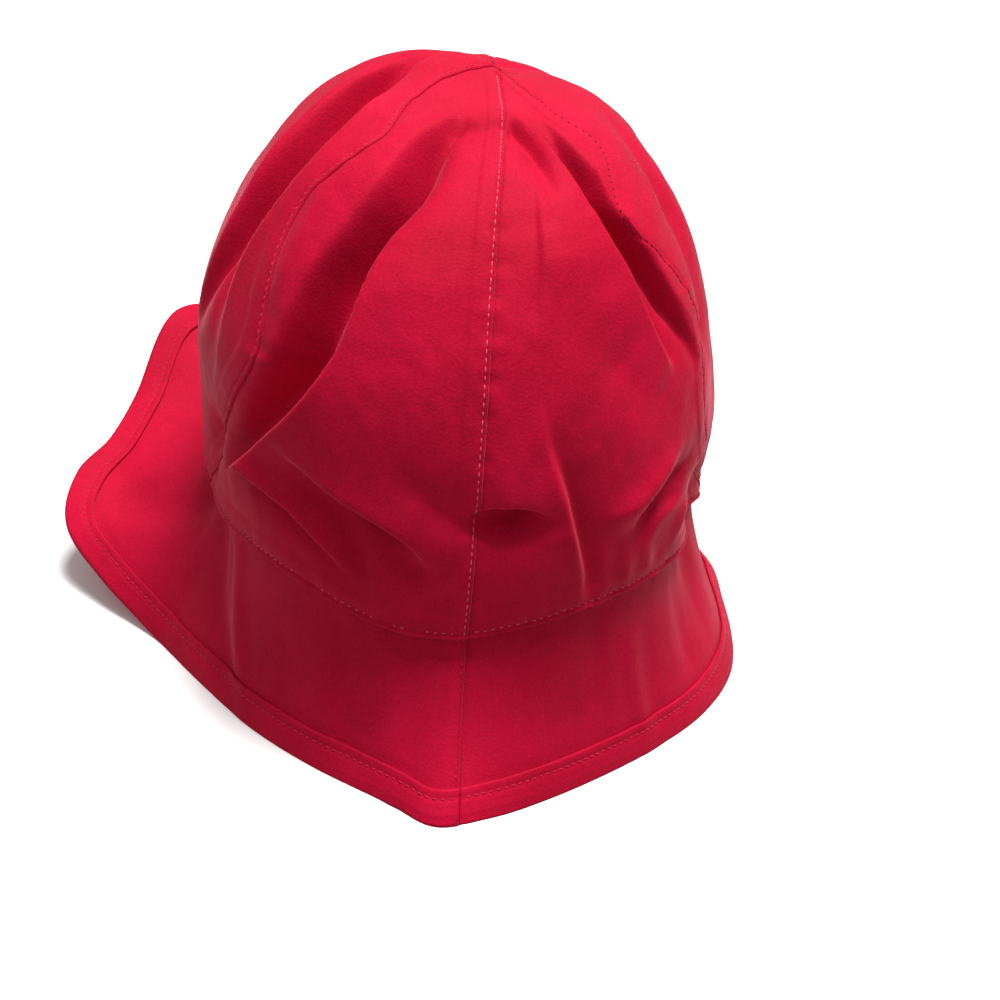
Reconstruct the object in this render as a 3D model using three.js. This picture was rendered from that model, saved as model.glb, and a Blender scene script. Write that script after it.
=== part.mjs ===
// A soft cotton sun hat: a deep crown sewn from four panels, a brim closed by one seam at the back,
// and a folded strip that binds the brim's edge. The hat stands on its brim, as it would on a table.
//
// Millimetres, +Z up. The wearer faces +Y, so the back seam is at -Y, and the floor is z = 0.
// An angle round the hat is in degrees from the back seam, positive to the hat's right (+X).
// "down" is the share of the way down a panel, from 0 at the crown's tip to 1 at the brim seam.

import * as THREE from "three";

// Cloth, and the clearances between sewn pieces.
const CROWN_CLOTH = 1.2;
const BRIM_CLOTH = 1.6;
const BINDING_CLOTH = 1;
const SEAM_GAP = 0.36;
const LAP_GAP = 0.5;

// The head opening's height above the floor, and the middle of the hat's outline seen from above.
const SEAM_HEIGHT = 50;
const OUTLINE_CENTRE = { x: -14.5, y: 5.5 };

// Sections of the crown: the rise above the brim seam, where the middle is (over to the right and ahead), and
// the reach from there to each side.
const CROWN_SECTIONS = [
  { rise: 138.6, over: 4, ahead: 20, left: 0, right: 0, back: 0, front: 0 },
  { rise: 138, over: 3.5, ahead: 17, left: 26.5, right: 18.5, back: 41, front: 15 },
  { rise: 132.3, over: 2.5, ahead: 12, left: 46.5, right: 36.5, back: 58, front: 46 },
  { rise: 119.5, over: 1, ahead: 6, left: 62, right: 53, back: 72, front: 74 },
  { rise: 97, over: 0, ahead: 1.5, left: 76, right: 68.5, back: 85.5, front: 94.5 },
  { rise: 71, over: 0, ahead: 0, left: 85, right: 77.5, back: 95, front: 102 },
  { rise: 42, over: 0, ahead: 0, left: 86, right: 82, back: 99, front: 102 },
  { rise: 14, over: 0, ahead: 0, left: 84, right: 81.5, back: 98, front: 99 },
  { rise: 0, over: 0, ahead: 0, left: 82, right: 81, back: 96, front: 97 },
];
const TIP_DOWN = 0.006;

// How the brim seam leaves its level oval: up where the brim is steep, in where the crown slumps over it.
const SEAM_SHAPE = [
  { angle: -120, up: 0, out: 2 },
  { angle: -98, up: 0, out: 3 },
  { angle: -84, up: 1, out: -1 },
  { angle: -70, up: 4, out: -1 },
  { angle: -42, up: 6, out: 0 },
  { angle: -14, up: -1, out: 0 },
  { angle: 0, up: 0, out: 0 },
  { angle: 12, up: 3, out: 0 },
  { angle: 25, up: 6, out: 0 },
  { angle: 42, up: 7.5, out: 0 },
  { angle: 60, up: 7.5, out: 0 },
  { angle: 73, up: 9, out: -4.5 },
  { angle: 86, up: 7, out: 1 },
  { angle: 104, up: 3, out: 1 },
  { angle: 140, up: 4, out: 0 },
  { angle: 180, up: 1, out: 0 },
  { angle: 210, up: 4, out: 0 },
];
const SEAM_SHAPE_FROM = 0.74; // where down the crown that shape begins to show

// Where the two side seams run. The slumped cloth pulls them off their straight way.
const SIDE_SEAMS = [
  { down: 0, left: -66, right: 42 },
  { down: 0.08, left: -62, right: 42 },
  { down: 0.16, left: -54, right: 43 },
  { down: 0.25, left: -46.5, right: 51 },
  { down: 0.32, left: -49, right: 49 },
  { down: 0.38, left: -52.5, right: 48 },
  { down: 0.45, left: -54, right: 55 },
  { down: 0.55, left: -52, right: 63 },
  { down: 0.63, left: -51.5, right: 63 },
  { down: 0.7, left: -56, right: 62 },
  { down: 0.8, left: -65, right: 67 },
  { down: 0.9, left: -74, right: 75 },
  { down: 1, left: -88, right: 88 },
];
const FRONT_SEAM = 180;
const BACK_SEAM = 0;

// Folds of the crown, each a rounded ridge (lift above 0) or valley (below 0) along a bent line.
// angles, downs and lifts hold its start, middle and end, and widths its falloff to the left and right.
const CROWN_FOLDS = [
  { name: "deep left valley",
    angles: [-32.5, -38, -61], downs: [0.17, 0.46, 0.85], lifts: [-4, -11, -12], widths: [13, 10] },
  { name: "lip over the deep valley",
    angles: [-17, -26, -58], downs: [0.22, 0.54, 0.86], lifts: [1, 4, 6], widths: [8, 22] },
  { name: "ridge under the left seam",
    angles: [-51, -52, -64], downs: [0.17, 0.42, 0.78], lifts: [3, 4, 3], widths: [9, 7] },
  { name: "outer left valley",
    angles: [-99, -76, -75], downs: [0.17, 0.36, 0.68], lifts: [-4, -9, -4], widths: [9, 8] },
  { name: "front left puff",
    angles: [-146, -106, -98], downs: [0.12, 0.22, 0.5], lifts: [5, 5, 1], widths: [22, 18] },
  { name: "left pinch",
    angles: [-66, -74, -80], downs: [0.8, 0.86, 0.93], lifts: [-3, -8, -4], widths: [9, 12] },
  { name: "upper slump ridge, left",
    angles: [-58, -44, -31], downs: [0.85, 0.86, 0.92], lifts: [4, 4, 1], widths: [5, 6] },
  { name: "slump valley, left",
    angles: [-44, -31, -22], downs: [0.79, 0.84, 0.93], lifts: [-3, -6, -2], widths: [6, 6] },
  { name: "lower slump valley, left",
    angles: [-52, -45, -38], downs: [0.9, 0.91, 0.95], lifts: [-2, -4, -1], widths: [5, 5] },
  { name: "middle slump ridge, left",
    angles: [-38, -25, -10], downs: [0.75, 0.8, 0.88], lifts: [2, 4, 2], widths: [7, 8] },
  { name: "pit beside the back seam",
    angles: [-3, 5, 12], downs: [0.81, 0.81, 0.8], lifts: [-3, -8, -4], widths: [5, 6] },
  { name: "shelf over the pit",
    angles: [-8, 4, 16], downs: [0.72, 0.73, 0.71], lifts: [1, 3, 1], widths: [8, 8] },
  { name: "right ridge",
    angles: [20.5, 29.5, 46], downs: [0.17, 0.34, 0.59], lifts: [3, 5, 4], widths: [8, 8] },
  { name: "right valley",
    angles: [29.5, 36, 53], downs: [0.24, 0.38, 0.59], lifts: [-4, -8, -4], widths: [6, 7] },
  { name: "hollow by the back seam",
    angles: [-1, 12.5, 18], downs: [0.17, 0.2, 0.3], lifts: [-3, -5, -2], widths: [5, 5] },
  { name: "right flank ridge",
    angles: [38, 44, 60], downs: [0.27, 0.4, 0.66], lifts: [2, 4, 2], widths: [7, 9] },
  { name: "outer right valley",
    angles: [80, 76, 70], downs: [0.26, 0.42, 0.6], lifts: [-2, -5, -3], widths: [9, 8] },
  { name: "drop ridge, right",
    angles: [12, 17, 26], downs: [0.65, 0.78, 0.97], lifts: [1, 4, 3], widths: [6, 5] },
  { name: "slump ridge, right",
    angles: [48, 38, 27], downs: [0.75, 0.8, 0.83], lifts: [2, 4, 1], widths: [6, 6] },
  { name: "slump valley, right",
    angles: [54, 45, 36], downs: [0.79, 0.82, 0.87], lifts: [-3, -5, -2], widths: [5, 5] },
  { name: "right pinch",
    angles: [60, 66, 74], downs: [0.86, 0.9, 0.94], lifts: [-2, -5, -3], widths: [8, 9] },
  { name: "front fold, left",
    angles: [-158, -150, -146], downs: [0.22, 0.5, 0.8], lifts: [-2, -5, -2], widths: [11, 9] },
  { name: "front fold, right",
    angles: [126, 142, 152], downs: [0.22, 0.5, 0.82], lifts: [-3, -6, -2], widths: [9, 12] },
  { name: "hollow in front of the tip",
    angles: [158, 177, 203], downs: [0.08, 0.12, 0.13], lifts: [-4, -5, -1], widths: [10, 9] },
  { name: "front slump",
    angles: [150, 170, 195], downs: [0.86, 0.82, 0.87], lifts: [-1, -4, -1], widths: [8, 8] },
  { name: "right side fold",
    angles: [97, 104, 98], downs: [0.3, 0.55, 0.82], lifts: [-1, -4, -1], widths: [10, 10] },
];
const FOLD_STEPS = 12;
const FOLDS_FADE = { from: 0.9, to: 0.97 };

// The brim's edge: how far it reaches out from the brim seam, and its height above the floor.
// The edge stands on the floor from the left of the back, round the right side, to the front.
const BRIM_EDGE = [
  { angle: -165, reach: 40, height: 24 },
  { angle: -150, reach: 47, height: 54 },
  { angle: -135, reach: 57, height: 66 },
  { angle: -122, reach: 51, height: 42 },
  { angle: -113, reach: 48.5, height: 36 },
  { angle: -105, reach: 53, height: 30 },
  { angle: -97, reach: 51, height: 20 },
  { angle: -89, reach: 36, height: 10 },
  { angle: -82, reach: 23, height: 3 },
  { angle: -75, reach: 15, height: 0 },
  { angle: -60, reach: 8.5, height: 0 },
  { angle: -45, reach: 7.5, height: 0 },
  { angle: -30, reach: 9, height: 0 },
  { angle: -16, reach: 14, height: 0 },
  { angle: -10, reach: 18.5, height: 0 },
  { angle: -4, reach: 25, height: 0 },
  { angle: 5, reach: 20.5, height: 0 },
  { angle: 17, reach: 14, height: 0 },
  { angle: 30, reach: 10.5, height: 0 },
  { angle: 45, reach: 11, height: 0 },
  { angle: 60, reach: 15, height: 0 },
  { angle: 75, reach: 19, height: 0 },
  { angle: 90, reach: 20.5, height: 0 },
  { angle: 100, reach: 22.5, height: 0 },
  { angle: 112, reach: 28, height: 0 },
  { angle: 135, reach: 32, height: 0 },
  { angle: 160, reach: 26, height: 0 },
  { angle: 180, reach: 30, height: 2 },
];
const BRIM_DROP = 11; // how far down the brim starts before it turns outward
const BRIM_BOW = 2.5; // how far the brim bows out between the seam and the edge
const ALLOWANCE = 5; // the seam allowance that stands up inside the crown
const BINDING_WIDTH = 9.5;
const BINDING_GAP = 0.3;
const BINDING_PRESS = 1.4; // how far its edge is pressed down so that it lies flat on the floor
const CROWN_GRID_ROWS = 20;
const RING_STEPS = 84;
const BRIM_ROWS = 5;

const radians = THREE.MathUtils.degToRad;

// A smooth value from a table's rows: a cubic through the rows on either side.
function fromRows(rows, key, column, x, period = 0) {
  const count = rows.length;
  const row = (i) => {
    const turns = period ? Math.floor(i / count) : 0;
    const inside = period ? i - turns * count : Math.min(Math.max(i, 0), count - 1);
    const next = rows[inside + Math.sign(inside - i)];
    const mirror = !period && i !== inside ? rows[inside][key] * 2 - next[key] : null;
    return {
      at: mirror ?? rows[inside][key] + turns * period,
      value: mirror === null ? rows[inside][column] : rows[inside][column] * 2 - next[column],
    };
  };
  let at = x;
  if (period) at = rows[0][key] + THREE.MathUtils.euclideanModulo(x - rows[0][key], period);
  let i = 0;
  while (i < (period ? count - 1 : count - 2) && row(i + 1).at <= at) i += 1;
  const [before, from, to, after] = [row(i - 1), row(i), row(i + 1), row(i + 2)];
  const span = to.at - from.at;
  const t = (at - from.at) / span;
  const slopeFrom = ((to.value - before.value) / (to.at - before.at)) * span;
  const slopeTo = ((after.value - from.value) / (after.at - from.at)) * span;
  return (
    from.value * (2 * t ** 3 - 3 * t ** 2 + 1) +
    slopeFrom * (t ** 3 - 2 * t ** 2 + t) +
    to.value * (3 * t ** 2 - 2 * t ** 3) +
    slopeTo * (t ** 3 - t ** 2)
  );
}

// Each crown section's share of the way down, from the length of a middling panel.
const CROWN_ROWS = CROWN_SECTIONS.map((section) => ({ ...section, down: 0 }));
for (let i = 1; i < CROWN_ROWS.length; i += 1) {
  const [above, below] = [CROWN_ROWS[i - 1], CROWN_ROWS[i]];
  const spread = (s) => (s.left + s.right + s.back + s.front) / 4;
  below.down = above.down + Math.hypot(below.rise - above.rise, spread(below) - spread(above));
}
const PANEL_LENGTH = CROWN_ROWS[CROWN_ROWS.length - 1].down;
CROWN_ROWS.forEach((row) => {
  row.down /= PANEL_LENGTH;
});

// The middle of the crown's section at a share of the way down.
function middleAt(down) {
  return new THREE.Vector3(
    fromRows(CROWN_ROWS, "down", "over", down),
    fromRows(CROWN_ROWS, "down", "ahead", down),
    SEAM_HEIGHT + fromRows(CROWN_ROWS, "down", "rise", down),
  );
}

// A point of the crown as a plain rounded dome, without the bends of its seam and its folds.
function dome(angle, down) {
  const reach = (column) => fromRows(CROWN_ROWS, "down", column, down);
  const [sine, cosine] = [Math.sin(radians(angle)), Math.cos(radians(angle))];
  const x = sine * reach(sine > 0 ? "right" : "left");
  const y = -cosine * reach(cosine > 0 ? "back" : "front");
  return middleAt(down).add(new THREE.Vector3(x, y, 0));
}

// A point of the crown with the bends of its seam, before its folds.
function smoothCrown(angle, down) {
  const share = THREE.MathUtils.smoothstep(down, SEAM_SHAPE_FROM, 1);
  const point = dome(angle, down);
  const shape = (column) => fromRows(SEAM_SHAPE, "angle", column, angle, 360) * share;
  const sideways = new THREE.Vector3(point.x, point.y, 0).normalize();
  return point.addScaledVector(sideways, shape("out")).setZ(point.z + shape("up"));
}

// The outward normal of any surface that is given by an angle and a share of the way down.
function normalOf(surface, angle, down) {
  const [turn, step] = [1, 0.01];
  const upper = Math.max(down - step, TIP_DOWN / 2);
  const along = surface(angle + turn, down).sub(surface(angle - turn, down));
  const downward = surface(angle, Math.min(down + step, 1)).sub(surface(angle, upper));
  return downward.cross(along).normalize();
}

// A fold's line on the smooth crown, with the lift at each point of it.
function foldLine(fold) {
  const bend = ([start, middle, end], t) => {
    const control = 2 * middle - (start + end) / 2;
    return (1 - t) ** 2 * start + 2 * t * (1 - t) * control + t ** 2 * end;
  };
  return Array.from({ length: FOLD_STEPS + 1 }, (_, i) => {
    const t = i / FOLD_STEPS;
    return { point: smoothCrown(bend(fold.angles, t), bend(fold.downs, t)), lift: bend(fold.lifts, t) };
  });
}
const FOLD_LINES = CROWN_FOLDS.map((fold) => ({ line: foldLine(fold), widths: fold.widths }));

// How far the folds lift a point off the smooth crown. Each falls off evenly from its one width to the other.
function foldLift(point, normal) {
  let lift = 0;
  for (const { line, widths } of FOLD_LINES) {
    let nearest = { distance: Infinity };
    for (let i = 0; i < FOLD_STEPS; i += 1) {
      const way = line[i + 1].point.clone().sub(line[i].point);
      const offset = point.clone().sub(line[i].point);
      const t = THREE.MathUtils.clamp(offset.dot(way) / way.lengthSq(), 0, 1);
      const across = offset.addScaledVector(way, -t);
      const distance = across.length();
      if (distance < nearest.distance) {
        const leftward = normal.clone().cross(way).normalize();
        nearest = {
          distance,
          leftShare: (1 + across.dot(leftward) / Math.max(distance, 1e-6)) / 2,
          lift: THREE.MathUtils.lerp(line[i].lift, line[i + 1].lift, t),
        };
      }
    }
    const width = THREE.MathUtils.lerp(widths[1], widths[0], nearest.leftShare);
    lift += nearest.lift * Math.exp(-((nearest.distance / width) ** 2));
  }
  return lift;
}

// A point of the crown's outer face, folds and all. The folds die out just above the brim seam.
function crownOuter(angle, down) {
  const point = smoothCrown(angle, down);
  const normal = normalOf(smoothCrown, angle, down);
  const fade = 1 - THREE.MathUtils.smoothstep(down, FOLDS_FADE.from, FOLDS_FADE.to);
  return point.addScaledVector(normal, foldLift(point, normal) * fade);
}

// A closed wall from two matching grids of points, the second one on the wall's inner side.
function wallGeometry(outer, inner) {
  const [rows, columns] = [outer.length, outer[0].length];
  const points = [...outer.flat(), ...inner.flat()];
  const outerAt = (i, j) => i * columns + j;
  const innerAt = (i, j) => rows * columns + i * columns + j;
  const faces = [];
  // Each quad is split along its shorter diagonal, so that neighbouring layers of cloth are split alike.
  const quad = (a, b, c, d) => {
    const alongFirst = points[a].distanceTo(points[c]) <= points[b].distanceTo(points[d]);
    faces.push(...(alongFirst ? [a, b, c, a, c, d] : [a, b, d, b, c, d]));
  };
  for (let i = 0; i < rows - 1; i += 1) {
    for (let j = 0; j < columns - 1; j += 1) {
      quad(outerAt(i, j), outerAt(i + 1, j), outerAt(i + 1, j + 1), outerAt(i, j + 1));
      quad(innerAt(i, j), innerAt(i, j + 1), innerAt(i + 1, j + 1), innerAt(i + 1, j));
    }
    quad(outerAt(i, 0), innerAt(i, 0), innerAt(i + 1, 0), outerAt(i + 1, 0));
    const last = columns - 1;
    quad(outerAt(i + 1, last), innerAt(i + 1, last), innerAt(i, last), outerAt(i, last));
  }
  for (let j = 0; j < columns - 1; j += 1) {
    quad(outerAt(0, j + 1), innerAt(0, j + 1), innerAt(0, j), outerAt(0, j));
    const last = rows - 1;
    quad(outerAt(last, j), innerAt(last, j), innerAt(last, j + 1), outerAt(last, j + 1));
  }
  const geometry = new THREE.BufferGeometry();
  geometry.setAttribute("position", new THREE.Float32BufferAttribute(points.flatMap((p) => p.toArray()), 3));
  geometry.setIndex(faces);
  return geometry;
}

// The angle of each seam at a share of the way down.
const seams = {
  back: () => BACK_SEAM,
  left: (down) => fromRows(SIDE_SEAMS, "down", "left", down),
  right: (down) => fromRows(SIDE_SEAMS, "down", "right", down),
  front: () => FRONT_SEAM,
  frontAgain: () => FRONT_SEAM - 360,
};

// Half a seam gap as an angle, at a point of a seam.
function insetAt(angle, down) {
  const radius = dome(angle, down).distanceTo(middleAt(down));
  return THREE.MathUtils.radToDeg(SEAM_GAP / 2 / radius);
}

// One panel: the crown between two seams. Its columns crowd towards the seam with the more folded cloth.
function panelGeometry({ from, to, columns, crowding }) {
  const [outer, inner] = [[], []];
  for (let i = 0; i <= CROWN_GRID_ROWS; i += 1) {
    const down = TIP_DOWN + ((1 - TIP_DOWN) * i) / CROWN_GRID_ROWS;
    const start = seams[from](down) + insetAt(seams[from](down), down);
    const end = seams[to](down) - insetAt(seams[to](down), down);
    outer.push([]);
    inner.push([]);
    for (let j = 0; j <= columns; j += 1) {
      const angle = THREE.MathUtils.lerp(start, end, (j / columns) ** crowding);
      const point = crownOuter(angle, down);
      outer[i].push(point);
      inner[i].push(point.clone().addScaledVector(normalOf(crownOuter, angle, down), -CROWN_CLOTH));
    }
  }
  return wallGeometry(outer, inner);
}

// The level direction out from the head opening's oval at an angle.
function outwardOf(angle) {
  const seam = (a) => dome(a, 1).setZ(0);
  const along = seam(angle + 4).sub(seam(angle - 4));
  return new THREE.Vector3(along.y, -along.x, 0).normalize();
}

// The brim's cross-section at an angle, as a curve from under the crown's edge to the brim's own edge.
function brimSection(angle) {
  const outward = outwardOf(angle);
  const insideCrown = (down) =>
    crownOuter(angle, down).addScaledVector(normalOf(crownOuter, angle, down), -(CROWN_CLOTH + LAP_GAP));
  const start = insideCrown(1);
  const reach = fromRows(BRIM_EDGE, "angle", "reach", angle, 360);
  const height = Math.max(fromRows(BRIM_EDGE, "angle", "height", angle, 360), 0);
  const turn = start.clone().setZ(start.z - BRIM_DROP);
  const edge = dome(angle, 1).addScaledVector(outward, reach).setZ(height + BINDING_CLOTH + BINDING_GAP);
  const chord = edge.clone().sub(turn);
  const bowWay = chord.clone().cross(new THREE.Vector3(outward.y, -outward.x, 0)).normalize();
  const bow = turn.clone().addScaledVector(chord, 0.5).addScaledVector(bowWay, BRIM_BOW);
  return {
    outward,
    height,
    top: insideCrown(1 - ALLOWANCE / PANEL_LENGTH),
    curve: new THREE.CubicBezierCurve3(start, turn, bow, edge),
  };
}

// A point of the brim's outer face and its normal there, at a share of the way out from the seam to the edge.
function brimPoint(section, out) {
  const point = section.curve.getPoint(out);
  const tangent = section.curve.getTangent(out);
  const sideways = new THREE.Vector3(-section.outward.y, section.outward.x, 0);
  return { point, tangent, normal: tangent.clone().cross(sideways).normalize() };
}

// The angles round a ring that is closed by one seam at the back.
function ringAngles(steps) {
  const inset = THREE.MathUtils.radToDeg(SEAM_GAP / 2 / CROWN_SECTIONS[CROWN_SECTIONS.length - 1].back);
  return Array.from({ length: steps + 1 }, (_, i) => THREE.MathUtils.lerp(inset, 360 - inset, i / steps));
}

// The shares of the way out at which the brim has its rows; the last three are the binding's rows too.
function brimShares(section) {
  const bindingStart = 1 - BINDING_WIDTH / section.curve.getLength();
  const open = Array.from({ length: BRIM_ROWS }, (_, j) => (bindingStart * j) / (BRIM_ROWS - 1));
  return [...open, (1 + bindingStart) / 2, 1];
}

// Keeps a point of a layer from going below the height where that layer's stack stands on the floor.
function stoppedAt(floor, point) {
  return point.setZ(Math.max(point.z, floor));
}

// The brim: a strip that starts as the allowance inside the crown and ends at the edge.
function brimGeometry() {
  const [outer, inner] = [[], []];
  const floor = BINDING_CLOTH + BINDING_GAP;
  for (const angle of ringAngles(RING_STEPS)) {
    const section = brimSection(angle);
    const outerColumn = [section.top];
    const innerColumn = [section.top.clone().addScaledVector(section.outward, -BRIM_CLOTH)];
    for (const out of brimShares(section)) {
      const { point, normal } = brimPoint(section, out);
      innerColumn.push(stoppedAt(floor, point.clone().addScaledVector(normal, -BRIM_CLOTH)));
      outerColumn.push(stoppedAt(floor, point));
    }
    outer.push(outerColumn);
    inner.push(innerColumn);
  }
  return wallGeometry(inner, outer);
}

// The binding: a strip folded over the brim's edge, its underside pressed flat where it stands on the floor.
function bindingGeometry() {
  const [outside, inside] = [[], []];
  for (const angle of ringAngles(RING_STEPS)) {
    const section = brimSection(angle);
    const [upper, middle, edge] = brimShares(section).slice(-3).map((out) => brimPoint(section, out));
    const press = BINDING_PRESS * (1 - THREE.MathUtils.smoothstep(section.height, 0, BINDING_PRESS * 4));
    // One layer of the strip's cross-section, from its upper face round the brim's edge to its lower face.
    const layer = (clear, floor, drop) => {
      const shifted = (at, lift, past = 0) =>
        stoppedAt(floor, at.point.clone().addScaledVector(at.normal, lift).addScaledVector(at.tangent, past));
      const pressed = (point) => stoppedAt(floor, point.setZ(point.z - drop));
      return [
        shifted(upper, clear),
        shifted(middle, clear),
        pressed(shifted(edge, clear, clear)),
        pressed(shifted(edge, -BRIM_CLOTH - clear, clear)),
        shifted(middle, -BRIM_CLOTH - clear),
        shifted(upper, -BRIM_CLOTH - clear),
      ];
    };
    outside.push(layer(BINDING_GAP + BINDING_CLOTH, 0, press));
    inside.push(layer(BINDING_GAP, BINDING_CLOTH, 0));
  }
  return wallGeometry(inside, outside);
}

function cloth(color, roughness) {
  return new THREE.MeshStandardMaterial({ color, roughness, metalness: 0 });
}
const crownCloth = cloth(0xc4143a, 0.75);
const brimCloth = cloth(0xb91236, 0.78);
const bindingCloth = cloth(0xbe1338, 0.78);

const hat = new THREE.Group();
hat.name = "sun_hat";

function addPiece(name, geometry, material) {
  const mesh = new THREE.Mesh(geometry, material);
  mesh.name = name;
  hat.add(mesh);
}

// The four panels of the crown. Those at the back have the finest grid, because their folds are the deepest.
const PANELS = [
  { name: "crown_panel_back_left", from: "left", to: "back", columns: 20, crowding: 1 },
  { name: "crown_panel_back_right", from: "back", to: "right", columns: 20, crowding: 1 },
  { name: "crown_panel_front_left", from: "frontAgain", to: "left", columns: 17, crowding: 0.8 },
  { name: "crown_panel_front_right", from: "right", to: "front", columns: 15, crowding: 1.2 },
];
for (const panel of PANELS) addPiece(panel.name, panelGeometry(panel), crownCloth);
addPiece("brim", brimGeometry(), brimCloth);
addPiece("brim_binding", bindingGeometry(), bindingCloth);

// The origin is on the floor, under the middle of the outline.
hat.position.set(-OUTLINE_CENTRE.x, -OUTLINE_CENTRE.y, 0);

export default hat;
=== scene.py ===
import math

import bpy
import numpy as np
from bpy.props import FloatProperty, FloatVectorProperty, PointerProperty
from mathutils import Matrix, Vector


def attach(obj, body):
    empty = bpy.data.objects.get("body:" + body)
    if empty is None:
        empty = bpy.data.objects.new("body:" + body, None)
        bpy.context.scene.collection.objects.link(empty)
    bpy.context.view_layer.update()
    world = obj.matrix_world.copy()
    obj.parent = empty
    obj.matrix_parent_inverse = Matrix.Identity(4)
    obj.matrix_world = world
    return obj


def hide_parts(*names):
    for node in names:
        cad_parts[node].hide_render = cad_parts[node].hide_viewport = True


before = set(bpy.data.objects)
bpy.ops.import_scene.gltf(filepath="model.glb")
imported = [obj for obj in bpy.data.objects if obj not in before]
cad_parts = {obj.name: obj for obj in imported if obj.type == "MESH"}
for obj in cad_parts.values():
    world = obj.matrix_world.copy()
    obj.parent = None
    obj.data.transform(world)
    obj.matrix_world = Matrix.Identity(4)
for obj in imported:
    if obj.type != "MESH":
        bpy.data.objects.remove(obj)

bl_info = {
    "name": "Cotton sun hat",
    "version": (1, 0, 0),
    "blender": (4, 5, 0),
    "location": "View3D > Sidebar > Sun hat",
    "description": "Sews a slumped cotton sun hat: crown panels, brim, binding and stitches",
    "category": "Object",
}

# Shape tables are in millimetres and degrees, and meshes are made in metres.
# An angle round the hat counts from the back seam, positive to the hat's right.
# "down" is the share of the way down a panel, from 0 at the crown's tip to 1 at the brim seam.
MILLIMETRE = 0.001

SEAM_HEIGHT = 50.0
HAT_CENTRE = np.array([14.5, -5.5, 0.0])
TIP_DOWN = 0.004


def table(columns, *rows):
    """Rows of values as dictionaries by the names of their columns."""
    return [dict(zip(columns.split(), row)) for row in rows]


# Sections of the crown: their rise over the brim seam, where their middle is, and their reach to each side.
CROWN_SECTIONS = table(
    "rise over ahead left right back front",
    (138.6, 4, 20, 0, 0, 0, 0),
    (138, 3.5, 17, 26.5, 18.5, 41, 15),
    (132.3, 2.5, 12, 46.5, 36.5, 58, 46),
    (119.5, 1, 6, 62, 53, 72, 74),
    (97, 0, 1.5, 76, 68.5, 85.5, 94.5),
    (71, 0, 0, 85, 77.5, 95, 102),
    (42, 0, 0, 86, 82, 99, 102),
    (14, 0, 0, 84, 81.5, 98, 99),
    (0, 0, 0, 82, 81, 96, 97),
)

# How the brim seam leaves its level oval.
SEAM_SHAPE = table(
    "angle up out",
    (-120, 0, 2),
    (-98, 0, 3),
    (-84, 1, -1),
    (-70, 4, -1),
    (-42, 6, 0),
    (-14, -1, 0),
    (0, 0, 0),
    (12, 3, 0),
    (25, 6, 0),
    (42, 7.5, 0),
    (60, 7.5, 0),
    (73, 9, -4.5),
    (86, 7, 1),
    (104, 3, 1),
    (140, 4, 0),
    (180, 1, 0),
    (210, 4, 0),
)
SEAM_SHAPE_FROM = 0.74

# Where the two side seams run down the crown.
SIDE_SEAMS = table(
    "down left right",
    (0, -66, 42),
    (0.08, -62, 42),
    (0.16, -54, 43),
    (0.25, -43.5, 51),
    (0.32, -47.5, 46.5),
    (0.38, -52, 45),
    (0.45, -53.5, 54),
    (0.55, -52, 63),
    (0.63, -51.5, 63),
    (0.7, -56, 62),
    (0.8, -65, 67),
    (0.9, -74, 75),
    (1, -88, 88),
)

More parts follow.
